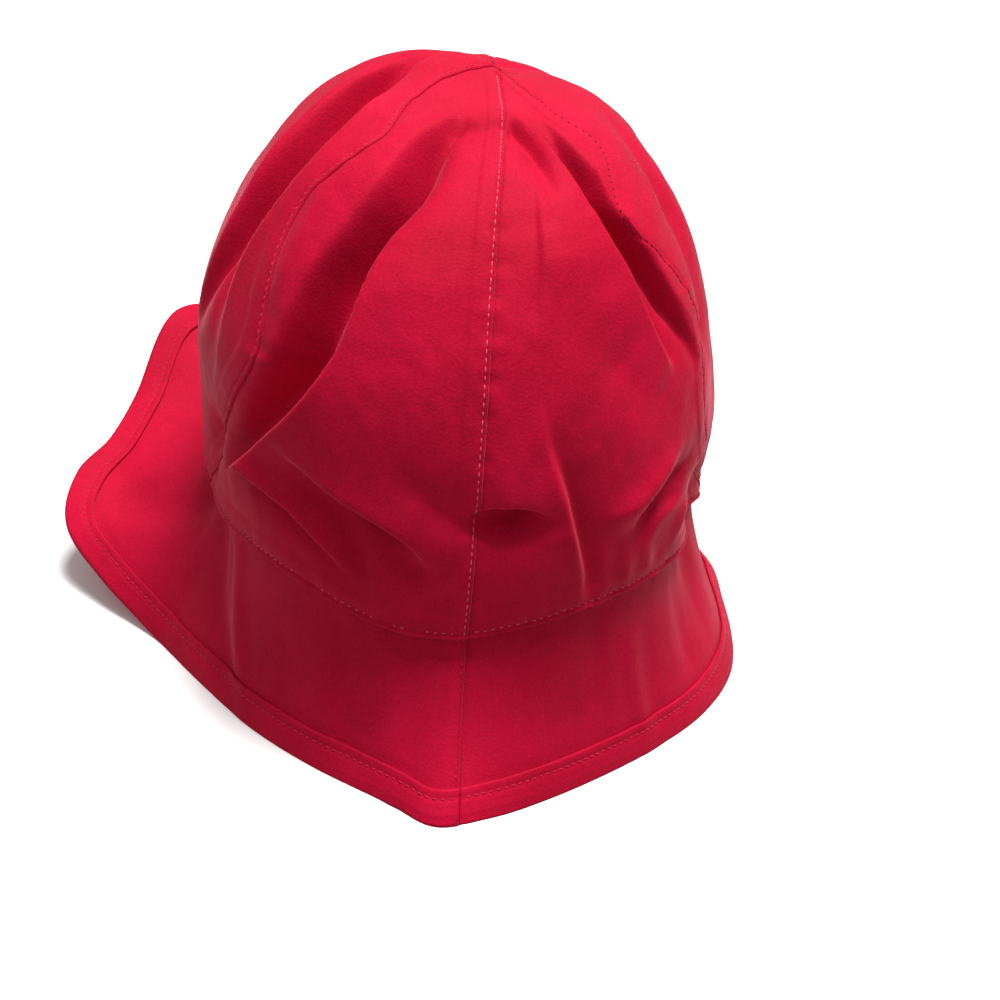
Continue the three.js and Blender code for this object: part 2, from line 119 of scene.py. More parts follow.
# Rounded folds of the crown. way is a line of (angle, down, lift) stops, with lift above 0 for a ridge.
# left and right are how fast it falls off on the picture's left and right of a way that runs down, and crest
# how round its top is.
CROWN_FOLDS = table(
    "name left right crest way",
    ("bright band right of the left seam", 3, 3, 2.5,
     [(-38, 0.2, 1), (-41.5, 0.25, 2), (-44, 0.32, 2), (-48, 0.4, 2), (-50, 0.52, 1.5)]),
    ("outer left valley", 3.5, 3.5, 3,
     [(-104, 0.15, -2), (-88, 0.17, -5), (-78, 0.21, -7), (-73.5, 0.26, -8), (-72, 0.32, -8),
      (-72.5, 0.4, -8), (-74, 0.5, -6), (-73.5, 0.6, -4), (-72, 0.68, -1)]),
    ("front left puff", 20, 13, 12,
     [(-150, 0.1, 5), (-124, 0.15, 5), (-112, 0.22, 3), (-106, 0.36, 1)]),
    ("left pinch", 7, 6, 4,
     [(-66, 0.8, -2), (-74, 0.86, -7), (-80, 0.93, -3)]),
    ("slump valley, left", 3.5, 3, 2,
     [(-45, 0.79, -1), (-36.5, 0.805, -3), (-32.5, 0.828, -4), (-28.5, 0.856, -5), (-25, 0.89, -4),
      (-22, 0.93, -1.5)]),
    ("dent under the middle slump", 2.5, 2.5, 1.5,
     [(-16, 0.876, -2), (-12, 0.892, -4), (-9, 0.888, -2)]),
    ("shallow way to the pit", 4, 4, 2,
     [(-14, 0.75, -1), (-7, 0.78, -3), (-1, 0.795, -3)]),
    ("pit", 3, 3.5, 2.5,
     [(-1.5, 0.802, -2), (3.5, 0.808, -8), (9, 0.806, -8), (13.5, 0.8, -2)]),
    ("hollow by the back seam", 3, 3, 2,
     [(-4, 0.168, -1), (3, 0.168, -2), (8, 0.178, -3), (13, 0.205, -4), (15.5, 0.26, -4),
      (17, 0.31, -1.5)]),
    ("outer right valley", 5, 5, 5,
     [(80, 0.26, -2), (76, 0.42, -5), (70, 0.6, -3)]),
    ("slump ridge, right", 3.5, 3.5, 2,
     [(48, 0.74, 1.5), (44, 0.76, 3), (40, 0.782, 3.5), (33.5, 0.81, 3), (27.5, 0.822, 1)]),
    ("slump valley, right", 3, 3, 2,
     [(54, 0.786, -2), (51, 0.794, -4), (45.5, 0.812, -5), (41.5, 0.832, -4.5), (37, 0.865, -2)]),
    ("low right ridge", 2, 2, 1,
     [(57, 0.88, 1), (54.5, 0.89, 2.2), (53, 0.914, 2.2), (51.5, 0.95, 1)]),
    ("right pinch", 6, 6, 4,
     [(60, 0.86, -2), (66, 0.9, -4.5), (74, 0.94, -1.2)]),
    ("gather 1, right", 1.4, 1.4, 0.8,
     [(28, 0.86, 0.5), (29, 0.92, 1.3), (29.5, 0.98, 0.8)]),
    ("gather 2, right", 1.4, 1.4, 0.8,
     [(34, 0.89, 0.5), (35, 0.94, 1.5), (36, 0.99, 0.9)]),
    ("gather 3, right", 1.4, 1.4, 0.8,
     [(40.5, 0.91, 0.4), (42, 0.95, 1.5), (43, 0.99, 0.9)]),
    ("gather 1, left", 1.5, 1.5, 0.8,
     [(-20, 0.93, 0.4), (-18.5, 0.96, 1.2), (-18, 0.99, 0.8)]),
    ("gather 2, left", 1.5, 1.5, 0.8,
     [(-34, 0.94, 0.4), (-32, 0.965, 1), (-31, 0.99, 0.6)]),
    ("bulge left of the back seam", 10, 10, 6,
     [(-20, 0.42, 1), (-18, 0.48, 2.5), (-15, 0.56, 1)]),
    ("bulge right of the back seam", 6, 6, 5,
     [(14, 0.36, 1), (17, 0.42, 2.5), (19, 0.47, 1)]),
    ("dent in the right middle", 8, 8, 6,
     [(24, 0.52, -1.5), (32, 0.58, -3), (40, 0.65, -1.5)]),
    ("front fold, left", 7, 8, 6,
     [(-158, 0.22, -2), (-150, 0.5, -5), (-146, 0.8, -2)]),
    ("front fold, right", 7, 8, 6,
     [(126, 0.22, -3), (142, 0.5, -6), (152, 0.82, -2)]),
    ("hollow in front of the tip", 7, 6, 5,
     [(158, 0.08, -4), (177, 0.12, -5), (203, 0.13, -1)]),
    ("front slump", 5, 5, 5,
     [(150, 0.86, -1), (170, 0.82, -4), (195, 0.87, -1)]),
    ("right side fold", 6, 6, 6,
     [(97, 0.3, -1), (104, 0.55, -4), (98, 0.82, -1)]),
)

# Sharp folds, where the cloth hangs over a valley. way is the crest, as (angle, down, lift, drop) stops, and
# falls the side of the valley for one who walks along it with the crown's outside up. slope and valley are
# how fast the cloth levels out on each side, face the width of the steep face, and lean how far the crest
# hangs over it.
CROWN_LIPS = table(
    "name falls slope valley face lean way",
    ("outline ridge over the outer valley", "right", 6, 5, 6, 4.5,
     [(-112, 0.15, 0.3, 1), (-99, 0.19, 1, 6), (-90, 0.25, 1.8, 11), (-86, 0.33, 2, 13),
      (-84, 0.42, 2, 13), (-83.5, 0.52, 1.6, 10), (-84, 0.62, 0.8, 5), (-86, 0.7, 0, 0)]),
    ("left gore over the outer valley", "left", 7, 5, 3, 1.5,
     [(-96, 0.118, 0.5, 1), (-84, 0.135, 1, 2), (-72, 0.172, 1.5, 5), (-61.5, 0.235, 2.5, 10),
      (-59, 0.3, 2.5, 13), (-60, 0.366, 2.5, 13), (-63, 0.45, 2.5, 11.5), (-65.5, 0.53, 2, 9),
      (-65.5, 0.594, 1.5, 5), (-66, 0.66, 1, 2), (-68, 0.74, 0, 0)]),
    ("band over the deep valley", "right", 5, 4, 15, 2.5,
     [(-28, 0.15, 0.3, 0.5), (-33, 0.2, 0.8, 5.5), (-36.5, 0.26, 1.2, 11.5), (-38, 0.33, 1.5, 16),
      (-42, 0.418, 1.5, 16.5), (-45.5, 0.494, 1.5, 14), (-48, 0.606, 1.2, 12), (-51, 0.66, 1, 8),
      (-58, 0.76, 0.5, 3), (-66, 0.84, 0, 0)]),
    ("lip over the deep valley", "left", 14, 10, 3, 3,
     [(-19.5, 0.2, 0.2, 0.3), (-22.5, 0.27, 0.6, 1.5), (-25, 0.35, 1.5, 5), (-26.5, 0.442, 3.5, 10),
      (-27.5, 0.546, 5, 14), (-31, 0.622, 5.5, 16), (-36, 0.685, 6, 16), (-43.5, 0.75, 6, 15),
      (-52, 0.82, 5, 10), (-61, 0.875, 1.5, 3)]),
    ("right ridge over its valley", "right", 9, 4, 4, 1,
     [(21, 0.135, 0.3, 1), (19, 0.19, 1.5, 4), (21, 0.24, 2.5, 8), (26, 0.314, 3, 10),
      (31.5, 0.394, 3.4, 12), (36, 0.454, 3.4, 11), (41, 0.526, 2.5, 7), (45.5, 0.578, 1.5, 4),
      (49.5, 0.62, 0, 0)]),
    ("flank ridge over the same valley", "left", 9, 4, 6, 2.5,
     [(33, 0.19, 0.3, 0.5), (37, 0.254, 1, 4), (41, 0.298, 1.8, 6), (42, 0.35, 2.2, 7),
      (46, 0.394, 2.2, 7), (50.5, 0.458, 2.2, 6), (54.5, 0.522, 1.8, 5), (58, 0.586, 1, 2),
      (60, 0.64, 0, 0)]),
    ("edge of the flat top, right", "left", 6, 5, 3, 0,
     [(-3, 0.15, 0.4, 0.8), (5, 0.146, 0.8, 1.5), (10.5, 0.16, 1, 2), (15, 0.195, 1, 2),
      (18, 0.24, 0.8, 1.5), (19.5, 0.3, 0.2, 0.5)]),
    ("edge of the flat top, left", "left", 8, 14, 4, 0,
     [(-30, 0.178, 0.3, 0.5), (-18, 0.162, 0.8, 1.5), (-8, 0.155, 0.8, 1.5), (-2, 0.153, 0.5, 1)]),
    ("upper slump ridge, left", "left", 4, 5, 2.8, 1,
     [(-62, 0.87, 0.5, 0.5), (-55.5, 0.846, 2, 4), (-51, 0.83, 3, 6.5), (-46.5, 0.832, 3, 8),
      (-40.5, 0.855, 2.8, 7.5), (-37, 0.876, 2.4, 6), (-32, 0.904, 1.8, 4), (-26, 0.932, 0.6, 0.8)]),
    ("middle slump ridge, left", "left", 8, 7, 4, 1,
     [(-40, 0.748, 0.4, 0.4), (-34, 0.77, 1.8, 3.5), (-27, 0.79, 3, 6), (-20.5, 0.808, 3.4, 7.5),
      (-15, 0.83, 2.6, 6.5), (-11, 0.855, 1.2, 3), (-8, 0.89, 0, 0)]),
    ("shelf over the pit", "left", 7, 3.5, 2.4, 2,
     [(-2.5, 0.79, 0.2, 0.3), (1.5, 0.776, 1.4, 3.5), (5.5, 0.768, 2.4, 8), (10, 0.77, 2.2, 8),
      (13, 0.779, 1.4, 4), (16, 0.795, 0.2, 0.3)]),
    ("drop ridge, right", "right", 5, 6, 2.8, 0.4,
     [(12, 0.64, 0.3, 0.3), (13, 0.68, 0.8, 1), (15, 0.718, 1.4, 2), (17.5, 0.766, 2.4, 3.6),
      (19.5, 0.822, 2.8, 4), (21.5, 0.87, 2.4, 3.6), (23.5, 0.92, 1.6, 2.5), (24.5, 0.975, 1, 1.5)]),
    ("lower slump edge, right", "left", 4, 3, 1.2, 0.4,
     [(52, 0.84, 0.4, 0.4), (48.5, 0.85, 1.5, 2), (44.5, 0.854, 1.8, 2.5), (42, 0.868, 1.5, 2),
      (39, 0.91, 0.3, 0.3)]),
    ("thin crease", "left", 5, 5, 1.2, 0,
     [(12, 0.31, 0.1, 0.2), (12, 0.36, 0.4, 0.7), (11.8, 0.42, 0.5, 0.9), (11.2, 0.48, 0.3, 0.6),
      (11, 0.52, 0, 0)]),
)

# How folds are laid: the steps along a way, where down the crown all folds fade out, the narrowest part of a
# sharp fold's face as a share of its widest, how round its crest and its ends are, how far from the crest it
# leans, and how many times the folded grid is eased.
FOLD_STEPS = 24
FOLDS_FADE = (0.955, 0.998)
LEAST_FACE = 0.35
LIP_CREST = 1.0
LIP_END = 4
LEAN_REACH = 7
EASE_TIMES = 4

# The brim's edge: its reach out from the head opening's oval, and its height above the floor.
BRIM_EDGE = table(
    "angle reach height",
    (-165, 40, 24),
    (-150, 47, 54),
    (-135, 57, 66),
    (-122, 51, 42),
    (-113, 48.5, 36),
    (-105, 53, 30),
    (-97, 51, 20),
    (-89, 36, 10),
    (-82, 23, 3),
    (-75, 15, 0),
    (-60, 8.5, 0),
    (-45, 7.5, 0),
    (-30, 9, 0),
    (-16, 14, 0),
    (-10, 18.5, 0),
    (-4, 25, 0),
    (5, 20.5, 0),
    (17, 14, 0),
    (30, 10.5, 0),
    (45, 11, 0),
    (60, 15, 0),
    (75, 19, 0),
    (90, 20.5, 0),
    (100, 22.5, 0),
    (112, 28, 0),
    (135, 32, 0),
    (160, 26, 0),
    (180, 30, 2),
)

# How far the brim drops before it turns out, how far it bows, how far its top is tucked up and in behind the
# crown, and the rise of its bound edge over the floor. Its cloth is BRIM_LENGTH wide and is measured round
# the hat at a radius of BRIM_ROUND. The whole way out is OUT_AT_SEAM millimetres at the pace that it has at
# the seam, and OUT_AT_EDGE at its pace at the edge.
BRIM_DROP = 11.0
BRIM_BOW = 2.5
BRIM_TUCK = 4.0
BRIM_INSET = 1.75
EDGE_LIFT = 1.3
BRIM_LENGTH = 57
BRIM_ROUND = 105
OUT_AT_SEAM = 55
OUT_AT_EDGE = 75

# Soft upright folds of the brim: where they start and end round the hat, how wide and deep they are, and over
# which part of the way out they show.
BRIM_FOLDS = table(
    "name at_seam at_edge width lift top end",
    ("valley of the turned-up side", -91, -111, 6, -3.5, 0.1, 1.0),
    ("crest of the turned-up side", -110, -123, 7, 2.5, 0.3, 1.1),
    ("dark strip, left", -75, -51, 5, -2.2, 0.05, 0.95),
    ("bright ridge, left", -61.5, -47.5, 3, 1.5, 0.05, 0.95),
    ("faint strip", -28, -20, 3.5, -1.1, 0.1, 1.0),
    ("soft ridge, left", -17.5, -11, 3.5, 0.9, 0.1, 1.0),
    ("pucker by the back seam", 11, -8, 1.2, 0.7, 0.0, 0.22),
    ("soft valley, right", 30, 32, 4, -0.8, 0.0, 0.9),
    ("soft ridge, right", 40, 42, 3, 1, 0.4, 1.0),
    ("right valley", 60, 62, 4, -1.2, 0.0, 0.9),
    ("right crest", 76, 76, 5, 1.4, 0.0, 0.9),
    ("front right valley", 120, 120, 8, -1.5, 0.0, 1.0),
    ("front crest", 170, 170, 9, 1.5, 0.0, 1.0),
)

# Places of the grid lines by a cut edge and by the brim's back seam, and the steps between them elsewhere.
EDGE_STEPS = (0, 0.12, 0.3, 0.55, 0.85, 1.2, 1.6, 2.1, 2.7, 3.4, 4.2)
SEAM_TURNS = np.array([0.05, 0.12, 0.25, 0.45, 0.7])
ROW_STEP = 0.82
FRONT_ROW_STEP = 1.1
BRIM_RING = 560
BRIM_ROWS = 44

# Sewing: how far cloth rolls in at an edge, how far the lower side of a seam sinks and over what width, the
# share by which the hem is thinner, the rise over seam allowances and their width, the hem's rise, rim and
# dent, the puckers by a seam and by the hem, the gap between sewn edges, the stitches, and how far each row
# lies from its edge.
ROLL = 0.7
SEAM_SINK = 0.45
SEAM_SINK_WIDTH = 0.8
HEM_THINNER = 0.3
ALLOWANCE_RISE = 0.35
ALLOWANCE_WIDTH = 8.5
BRIM_ALLOWANCE_RISE = 0.6
HEM_RISE = 0.3
HEM_RIM = 0.5
HEM_DENT = 0.5
SEAM_PUCKER = 0.28
SEAM_PUCKER_REACH = 5.5
HEM_PUCKER = 0.34
HEM_PUCKER_REACH = 9
SEAM_GAP = 0.04
STITCH_PITCH = 2.5
STITCH_LENGTH = 1.9
SHORT_LENGTH = 1.5
PULLED_LENGTH = 0.9
STITCH_DENT = 0.35
THREAD_RADIUS = 0.22
SEAM_STITCH_OFFSET = 1.5
HEM_STITCH_OFFSET = 2.0
BINDING_STITCH_OFFSET = 3.0
CROWN_STITCHES = table(
    "seam thread length",
    # The back seam's stitches take the thread painted lighter: a painted highlight where they lie on top of
    # the cloth.
    ("back", "light_thread", STITCH_LENGTH),
    ("left", "plain_thread", STITCH_LENGTH),
    # The right seam's pulled stitches take the thread painted darker: painted shade where they sink into the
    # cloth.
    ("right", "deep_thread", PULLED_LENGTH),
    ("front", "plain_thread", STITCH_LENGTH),
)

# The binding: its gap to the brim, the groove that it presses in the brim, the dent along its stitches, its
# puckers, the thickness of its own wall, the grid lines on its face and the steps round its edge, how flat
# that edge is, and how far it is pressed down on the floor, up to a height at which it stands free.
BINDING_CLEARANCE = 0.15
GROOVE_DEPTH = 0.4
GROOVE_WIDTH = 1.1
BINDING_DENT = 0.3
BINDING_DENT_WIDTH = 0.8
BINDING_PUCKER = 0.12
BINDING_WALL = 0.35
FACE_STEPS = (0, 0.15, 0.35, 0.6, 0.9, 1.3)
EDGE_TURNS = 9
EDGE_FLATNESS = 0.75
BINDING_PRESS = 0.84
PRESS_FADES_AT = 5.6

# The camera: straight behind is 0 degrees, and left of it is negative.
CAMERA_AZIMUTH = -6.0
CAMERA_ELEVATION = 27.0
CAMERA_ROLL = 5.5
CAMERA_DISTANCE = 650.0
PICTURE_SCALE = 0.34
PICTURE_SIZE = 1000
HEAD_OPENING_IN_PICTURE = (455, 490)
SENSOR_WIDTH = 36.0

# The stage: a floor as wide as twice its reach, and one large soft lamp high over the hat, in metres.
FLOOR_REACH = 6.0
LAMP_WAY = Vector((0.12, -0.03, 1.0))
LAMP_DISTANCE = 2.5
LAMP_SIZE = 1.0
LAMP_AIM = Vector((0, 0, 0.1))


# Values from tables

def from_rows(rows, key, column, x, period=None):
    """A smooth value from a table's rows: a cubic through the rows on either side."""
    at = np.array([row[key] for row in rows], float)
    value = np.array([row[column] for row in rows], float)
    x = np.asarray(x, float)
    if period:
        x = at[0] + np.mod(x - at[0], period)
        at = np.concatenate([at[-1:] - period, at, at[:2] + period])
        value = np.concatenate([value[-1:], value, value[:2]])
    else:
        at = np.concatenate([[2 * at[0] - at[1]], at, [2 * at[-1] - at[-2]]])
        value = np.concatenate([[2 * value[0] - value[1]], value, [2 * value[-1] - value[-2]]])
    i = np.clip(np.searchsorted(at, x, side="right") - 1, 1, len(at) - 3)
    span = at[i + 1] - at[i]
    t = (x - at[i]) / span
    slope_from = (value[i + 1] - value[i - 1]) / (at[i + 1] - at[i - 1]) * span
    slope_to = (value[i + 2] - value[i]) / (at[i + 2] - at[i]) * span
    return (value[i] * (2 * t**3 - 3 * t**2 + 1) + slope_from * (t**3 - 2 * t**2 + t)
            + value[i + 1] * (3 * t**2 - 2 * t**3) + slope_to * (t**3 - t**2))


def smoothstep(x, low, high):
    """0 below low, 1 above high, and an even rise between."""
    t = np.clip((x - low) / (high - low), 0, 1)
    return t * t * (3 - 2 * t)


def hump(distance, width):
    """1 at no distance, and a smooth fall to 0 over a few widths to either side."""
    return np.exp(-((distance / width) ** 2))


def unit(vectors):
    """The same directions with length 1."""
    length = np.linalg.norm(vectors, axis=-1, keepdims=True)
    return vectors / np.maximum(length, 1e-9)


def soft_noise(u, v, seed):
    """Even noise from -1 to 1 that changes once a unit, the same on every run."""
    size = 64
    grid = np.random.default_rng(seed).uniform(-1, 1, (size, size))
    i, j = np.floor(u).astype(int), np.floor(v).astype(int)
    s, t = u - i, v - j
    s, t = s * s * (3 - 2 * s), t * t * (3 - 2 * t)

    def corner(a, b):
        return grid[np.mod(i + a, size), np.mod(j + b, size)]

    upper = corner(0, 0) * (1 - s) + corner(1, 0) * s
    lower = corner(0, 1) * (1 - s) + corner(1, 1) * s
    return upper * (1 - t) + lower * t


# The crown's shape

def rows_with_down():
    """The crown sections with each one's share of the way down, and a panel's length."""
    rows = [dict(section) for section in CROWN_SECTIONS]
    spread = [(r["left"] + r["right"] + r["back"] + r["front"]) / 4 for r in rows]
    down = [0.0]
    for i in range(1, len(rows)):
        step = math.hypot(rows[i]["rise"] - rows[i - 1]["rise"], spread[i] - spread[i - 1])
        down.append(down[-1] + step)
    for row, length in zip(rows, down):
        row["down"] = length / down[-1]
    return rows, down[-1]


CROWN_ROWS, PANEL_LENGTH = rows_with_down()


def dome(angle, down):
    """The crown as a plain rounded dome."""
    sine, cosine = np.sin(np.radians(angle)), np.cos(np.radians(angle))
    row = {c: from_rows(CROWN_ROWS, "down", c, down) for c in CROWN_SECTIONS[0]}
    x = row["over"] + sine * np.where(sine > 0, row["right"], row["left"])
    y = row["ahead"] - cosine * np.where(cosine > 0, row["back"], row["front"])
    return np.stack([x, y, SEAM_HEIGHT + row["rise"]], -1)


def radius_of(angle, down):
    """How far the dome is from the middle of its section."""
    point = dome(angle, down)
    x = point[..., 0] - from_rows(CROWN_ROWS, "down", "over", down)
    y = point[..., 1] - from_rows(CROWN_ROWS, "down", "ahead", down)
    return np.hypot(x, y)


def smooth_crown(angle, down):
    """The dome with the bends of its brim seam."""
    point = dome(angle, down)
    share = smoothstep(down, SEAM_SHAPE_FROM, 1)
    sideways = unit(point * np.array([1, 1, 0]))
    point = point + sideways * (from_rows(SEAM_SHAPE, "angle", "out", angle, 360) * share)[..., None]
    point[..., 2] += from_rows(SEAM_SHAPE, "angle", "up", angle, 360) * share
    return point


def normals_of(surface, angle, down):
    """Outward directions of a surface that is given by an angle and a share of the way down."""
    turn, step = 0.7, 0.006
    along = surface(angle + turn, down) - surface(angle - turn, down)
    lower = np.minimum(down + step, 1)
    upper = np.maximum(down - step, TIP_DOWN / 2)
    downward = surface(angle, lower) - surface(angle, upper)
    return unit(np.cross(downward, along))


def beside_way(points, normals, way, columns, reach):
    """The points near a fold's way, as their indices, distance and side, its columns there, and its left.

    The side is above 0 on the way's left. The columns are those that its stops have after angle and down.
    """
    stops = np.array(way, float)
    knots = np.linspace(0, 1, len(stops))
    t = np.linspace(0, 1, FOLD_STEPS + 1)
    rows = [dict(zip(("t", "angle", "down", *columns), (k, *stop))) for k, stop in zip(knots, stops)]
    angle, down = from_rows(rows, "t", "angle", t), from_rows(rows, "t", "down", t)
    values = np.stack([np.interp(t, knots, stops[:, 2 + i]) for i in range(len(columns))], -1)
    line = smooth_crown(angle, down)
    low, high = line.min(0) - reach, line.max(0) + reach
    near = np.flatnonzero(((points > low) & (points < high)).all(-1))
    p, n = points[near], normals[near]
    best = np.full(len(near), np.inf)
    offset, leftward = np.zeros_like(p), np.ones_like(p)
    found = np.zeros((len(near), len(columns)))
    for a, b, value_a, value_b in zip(line[:-1], line[1:], values[:-1], values[1:]):
        along = b - a
        share = np.clip(((p - a) @ along) / (along @ along), 0, 1)
        across = p - a - share[:, None] * along
        distance = np.linalg.norm(across, axis=1)
        closer = distance < best
        best[closer] = distance[closer]
        offset[closer] = across[closer]
        found[closer] = (value_a + (value_b - value_a) * share[:, None])[closer]
        leftward[closer] = np.cross(along, n[closer])
    leftward = unit(leftward)
    side = (offset * leftward).sum(-1) / np.maximum(best, 1e-6)
    return near, best, side, found.T, leftward


def fold_shift(points, normals, fold):
    """How a rounded fold moves each point of the smooth crown."""
    reach = 4.5 * max(fold["left"], fold["right"]) + 2 * fold["crest"]
    near, distance, side, (lift,), _ = beside_way(points, normals, fold["way"], ("lift",), reach)
    width = fold["right"] + (fold["left"] - fold["right"]) * (1 + side) / 2
    profile = np.exp(-(np.sqrt(distance**2 + fold["crest"] ** 2) - fold["crest"]) / width)
    shift = np.zeros_like(points)
    shift[near] = normals[near] * (lift * profile)[:, None]
    return shift


def lip_shift(points, normals, lip):
    """How a sharp fold moves each point of the smooth crown."""
    reach = 4 * max(lip["slope"], lip["valley"]) + lip["face"]
    near, distance, side, found, leftward = beside_way(points, normals, lip["way"], ("lift", "drop"), reach)
    lift, drop = found
    way_down = 1 if lip["falls"] == "left" else -1
    beyond = distance * side * way_down
    most, most_drop = (max(stop[i] for stop in lip["way"]) for i in (2, 3))
    face = lip["face"] * (LEAST_FACE + (1 - LEAST_FACE) * drop / most_drop)
    share = smoothstep(beyond, 0, face)
    gentle = np.exp(-(np.sqrt(distance**2 + LIP_CREST**2) - LIP_CREST) / lip["slope"])
    deep = np.exp(-np.maximum(beyond - face, 0) / lip["valley"])
    past_end = hump(distance * np.sqrt(np.maximum(1 - side**2, 0)), LIP_END)
    height = (lift * gentle * (1 - share) - drop * deep * share) * past_end
    shift = np.zeros_like(points)
    shift[near] = normals[near] * height[:, None]
    hang = lip["lean"] * lift / most * hump(distance, LEAN_REACH) * (1 - share) * past_end
    shift[near] += leftward * (hang * way_down)[:, None]
    return shift


STRAIGHT_SEAMS = {"back": 0.0, "front": 180.0, "front_again": -180.0}


def seam_angle(name, down):
    """Where a seam is, in degrees, at a share of the way down."""
    if name in ("left", "right"):
        return from_rows(SIDE_SEAMS, "down", name, down)
    return np.full_like(np.asarray(down, float), STRAIGHT_SEAMS[name])


def seam_distance(name, angle, down):
    """How far a point of the crown is from a seam, in millimetres, below 0 on the seam's left."""
    gap = np.mod(angle - seam_angle(name, down) + 180, 360) - 180
    radius = radius_of(angle, down)
    step = 0.01
    turn = seam_angle(name, np.minimum(down + step, 1)) - seam_angle(name, np.maximum(down - step, 0))
    slope = np.radians(turn) * radius / (2 * step * PANEL_LENGTH)
    return np.radians(gap) * radius / np.sqrt(1 + slope**2)


def sewing_relief(angle, down):
    """Height of the cloth over its smooth shape where it is sewn: allowances, stitch lines and puckers."""
    along = down * PANEL_LENGTH
    relief = np.zeros_like(angle)
    for seed, name in enumerate(("back", "left", "right", "front")):
        d = seam_distance(name, angle, down)
        allowance = smoothstep(d, -ALLOWANCE_WIDTH, 2 - ALLOWANCE_WIDTH) * (1 - smoothstep(d, -0.4, 0.2))
        relief += ALLOWANCE_RISE * allowance
        relief -= STITCH_DENT * hump(d + SEAM_STITCH_OFFSET, 0.55)
        pucker = soft_noise(along / 3.2, d / 9 + 7, 11 + seed)
        pucker = pucker + 0.6 * soft_noise(along / 7.5, d / 12, 31 + seed)
        relief += SEAM_PUCKER * pucker * hump(d, SEAM_PUCKER_REACH) * smoothstep(down, 0.03, 0.12)
    rise = (1 - down) * PANEL_LENGTH
    radius = radius_of(angle, down)
    round_way = np.radians(angle) * radius
    relief += HEM_RISE * (1 - smoothstep(rise, 7, 9)) + HEM_RIM * hump(rise, 0.9)
    relief -= HEM_DENT * hump(rise - HEM_STITCH_OFFSET, 0.6)
    pucker = soft_noise(round_way / 3.4, rise / 9, 51) + 0.7 * soft_noise(round_way / 8, rise / 14, 52)
    relief += HEM_PUCKER * pucker * hump(rise, HEM_PUCKER_REACH)
    return relief


def cloth_waves(angle, down):
    """Broad, shallow unevenness of slack cloth."""
    radius = radius_of(angle, down)
    u, v = np.radians(angle) * radius, down * PANEL_LENGTH
    fade = smoothstep(down, 0.02, 0.15) * (1 - smoothstep(down, 0.94, 1))
    wave = 0.8 * soft_noise(u / 22 + 3, v / 34, 71) + 0.4 * soft_noise((u + 0.4 * v) / 11, v / 24, 72)
    return wave * fade + 0.16 * soft_noise(u / 4.5, v / 6, 73) * fade


def folded_crown(angle, down):
    """The crown's outer face with its folds, and its smooth outward directions."""
    shape = angle.shape
    angle, down = angle.ravel(), down.ravel()
    base = smooth_crown(angle, down)
    normal = normals_of(smooth_crown, angle, down)
    fade = 1 - smoothstep(down, *FOLDS_FADE)
    point = base.copy()
    for fold in CROWN_FOLDS:
        point += fold_shift(base, normal, fold) * fade[:, None]
    for lip in CROWN_LIPS:
        point += lip_shift(base, normal, lip) * fade[:, None]
    return point.reshape(*shape, 3), normal.reshape(*shape, 3)


def crown_surface(angle, down, ease=False):
    """The crown's outer face with folds, sewing and slack, with the folds of a grid eased if asked."""
    point, normal = folded_crown(angle, down)
    if ease:
        point = eased(point)
    return point + normal * (sewing_relief(angle, down) + cloth_waves(angle, down))[..., None]


# The brim's shape

def outward_of(angle):
    """The level direction out from the head opening's oval."""
    ones = np.ones_like(angle)
    along = dome(angle + 4, ones) - dome(angle - 4, ones)
    return unit(np.stack([along[..., 1], -along[..., 0], np.zeros_like(angle)], -1))


def brim_curve(angle):
    """The brim's section at each angle: four control points, the level way out and the edge's height."""
    ones = np.ones_like(angle)
    start = smooth_crown(angle, ones) - normals_of(smooth_crown, angle, ones) * BRIM_INSET
    outward = outward_of(angle)
    reach = from_rows(BRIM_EDGE, "angle", "reach", angle, 360)
    height = np.maximum(from_rows(BRIM_EDGE, "angle", "height", angle, 360), 0)
    turn = start - np.array([0, 0, BRIM_DROP])
    edge = dome(angle, ones) + outward * reach[..., None]
    edge[..., 2] = height + EDGE_LIFT
    chord = edge - turn
    level = np.stack([outward[..., 1], -outward[..., 0], np.zeros_like(angle)], -1)
    bow = turn + 0.5 * chord + unit(np.cross(chord, level)) * BRIM_BOW
    return (start, turn, bow, edge), outward, height


def along_curve(corners, t):
    """Points at a share t of the way along a cubic curve with four control points."""
    start, turn, bow, edge = corners
    return start * (1 - t) ** 3 + 3 * turn * t * (1 - t) ** 2 + 3 * bow * t**2 * (1 - t) + edge * t**3


def way_of_curve(corners, t):
    """The direction of such a curve at a share t of the way along it."""
    start, turn, bow, edge = corners
    return unit(3 * (1 - t) ** 2 * (turn - start) + 6 * t * (1 - t) * (bow - turn) + 3 * t**2 * (edge - bow))


def out_from_edge(angle, distance):
    """The share of the way out at which the brim is this far from its edge, in millimetres of cloth."""
    steps = np.linspace(1, 0.4, 61)
    points = along_curve(brim_curve(angle)[0], steps[:, None, None])
    lengths = np.linalg.norm(np.diff(points, axis=0), axis=-1)
    along = np.concatenate([np.zeros((1, len(angle))), np.cumsum(lengths, 0)])
    distance = np.broadcast_to(distance, angle.shape)
    return np.array([np.interp(d, a, steps) for d, a in zip(distance, along.T)])


